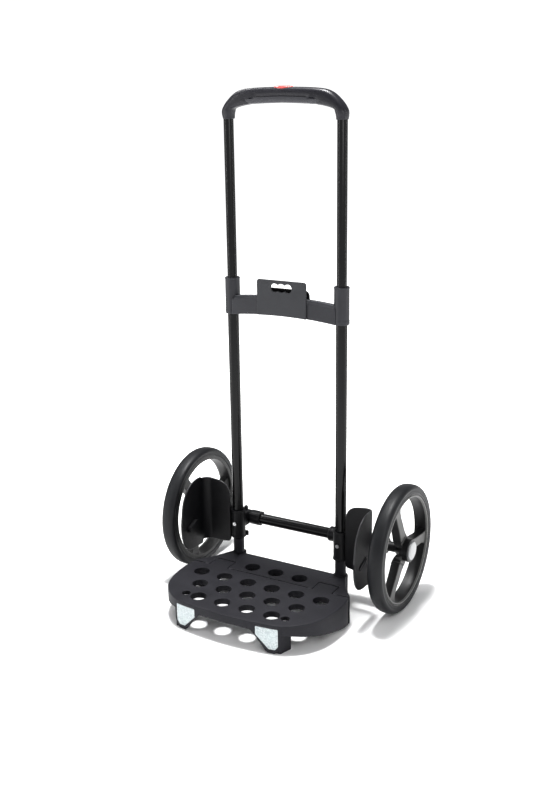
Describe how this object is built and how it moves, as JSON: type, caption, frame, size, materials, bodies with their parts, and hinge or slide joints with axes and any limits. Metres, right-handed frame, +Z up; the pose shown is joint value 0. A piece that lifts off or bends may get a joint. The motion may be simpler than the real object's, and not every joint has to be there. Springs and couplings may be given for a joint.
{
  "type": "two-wheeled folding luggage trolley frame",
  "caption": "Folding two-wheeled trolley frame with telescopic handle, bag hook crossbar, wheel guards, quick-release wheels and a fold-up perforated platform.",
  "frame": {"origin": "on the floor, under the centre of the object's bounding box at rest (handle drawn out, platform down)", "axes": "+Z up, -Y towards the platform's free edge, +X along the wheel axle to the right of someone facing the platform's rear edge"},
  "size_m": [0.5194, 0.41, 0.9936],
  "materials": {
    "tube_black": "satin black anodised",
    "plastic_black": "fine moulded grain",
    "plastic_charcoal": "fine moulded grain",
    "grip_black": "soft satin",
    "tyre": "matt rubber",
    "rim": "semi-gloss",
    "steel": "zinc plated",
    "nylon": "plain",
    "cap_silver": "satin silver white",
    "reflector": "prismatic",
    "button_red": "satin"
  },
  "bodies": {
    "frame": {"lower_tube_left": "tube_black", "lower_tube_right": "tube_black", "tube_end_plugs": "plastic_black", "crossbar": "plastic_charcoal", "hook_plate": "plastic_charcoal", "crossbar_cover": "plastic_black", "crossbar_screws": "steel", "sleeve_bush_left": "plastic_black", "sleeve_bush_right": "plastic_black", "bracket_left": "plastic_black", "bracket_right": "plastic_black", "bracket_screws": "steel", "axle_tube": "tube_black", "axle_pin_left": "steel", "axle_pin_right": "steel", "thrust_washers": "plastic_black", "guard_left": "plastic_black", "guard_right": "plastic_black", "guard_screws": "steel", "platform_rear": "plastic_charcoal", "platform_screws": "steel", "hinge_pins": "steel"},
    "platform": {"platform_flap": "plastic_charcoal", "reflector_left": "reflector", "reflector_right": "reflector"},
    "handle": {"upper_tube_left": "tube_black", "upper_tube_right": "tube_black", "tube_foot_left": "plastic_black", "tube_foot_right": "plastic_black", "lock_spring_left": "steel", "lock_spring_right": "steel", "grip_cover": "grip_black", "grip_base": "plastic_charcoal", "grip_screws": "steel", "button_spring": "steel"},
    "release": {"release_button": "button_red", "release_bar": "plastic_charcoal", "push_rod_left": "steel", "push_rod_right": "steel"},
    "wheel_left": {"rim_left": "rim", "tyre_left": "tyre", "wheel_bushes_left": "nylon", "cap_spring_left": "steel"},
    "cap_left": {"hub_cap_left": "cap_silver"},
    "latch_left": {"wheel_latch_left": "steel"},
    "wheel_right": {"rim_right": "rim", "tyre_right": "tyre", "wheel_bushes_right": "nylon", "cap_spring_right": "steel"},
    "cap_right": {"hub_cap_right": "cap_silver"},
    "latch_right": {"wheel_latch_right": "steel"}
  },
  "joints": [
    {"name": "handle_slide", "type": "slide", "parent": "frame", "child": "handle", "axis": [0, 0, 1], "range_m": [-0.29, 0], "deforming": ["lock_spring_left", "lock_spring_right"]},
    {"name": "release_press", "type": "slide", "parent": "handle", "child": "release", "axis": [0, 0, -1], "range_m": [0, 0.004], "stiffness_N_per_m": 900, "springref_m": -0.004, "deforming": ["button_spring"]},
    {"name": "platform_fold", "type": "hinge", "parent": "frame", "child": "platform", "pos_m": [0, -0.0355, 0.0538], "axis": [-1, 0, 0], "range_deg": [0, 90]},
    {"name": "wheel_spin_left", "type": "hinge", "parent": "frame", "child": "wheel_left", "pos_m": [-0.2322, 0.0779, 0.1271], "axis": [1, 0, 0], "continuous": true},
    {"name": "hub_cap_press_left", "type": "slide", "parent": "wheel_left", "child": "cap_left", "axis": [1, 0, 0], "range_m": [0, 0.003], "stiffness_N_per_m": 1500, "springref_m": -0.002, "deforming": ["cap_spring_left"]},
    {"name": "wheel_latch_slide_left", "type": "slide", "parent": "wheel_left", "child": "latch_left", "axis": [0, 0, -1], "range_m": [0, 0.0012]},
    {"name": "wheel_spin_right", "type": "hinge", "parent": "frame", "child": "wheel_right", "pos_m": [0.2322, 0.0779, 0.1271], "axis": [1, 0, 0], "continuous": true},
    {"name": "hub_cap_press_right", "type": "slide", "parent": "wheel_right", "child": "cap_right", "axis": [-1, 0, 0], "range_m": [0, 0.003], "stiffness_N_per_m": 1500, "springref_m": -0.002, "deforming": ["cap_spring_right"]},
    {"name": "wheel_latch_slide_right", "type": "slide", "parent": "wheel_right", "child": "latch_right", "axis": [0, 0, -1], "range_m": [0, 0.0012]}
  ],
  "couplings": [
    {"joint": "wheel_latch_slide_left", "follows": "hub_cap_press_left", "ratio": 0.4},
    {"joint": "wheel_latch_slide_right", "follows": "hub_cap_press_right", "ratio": 0.4}
  ]
}
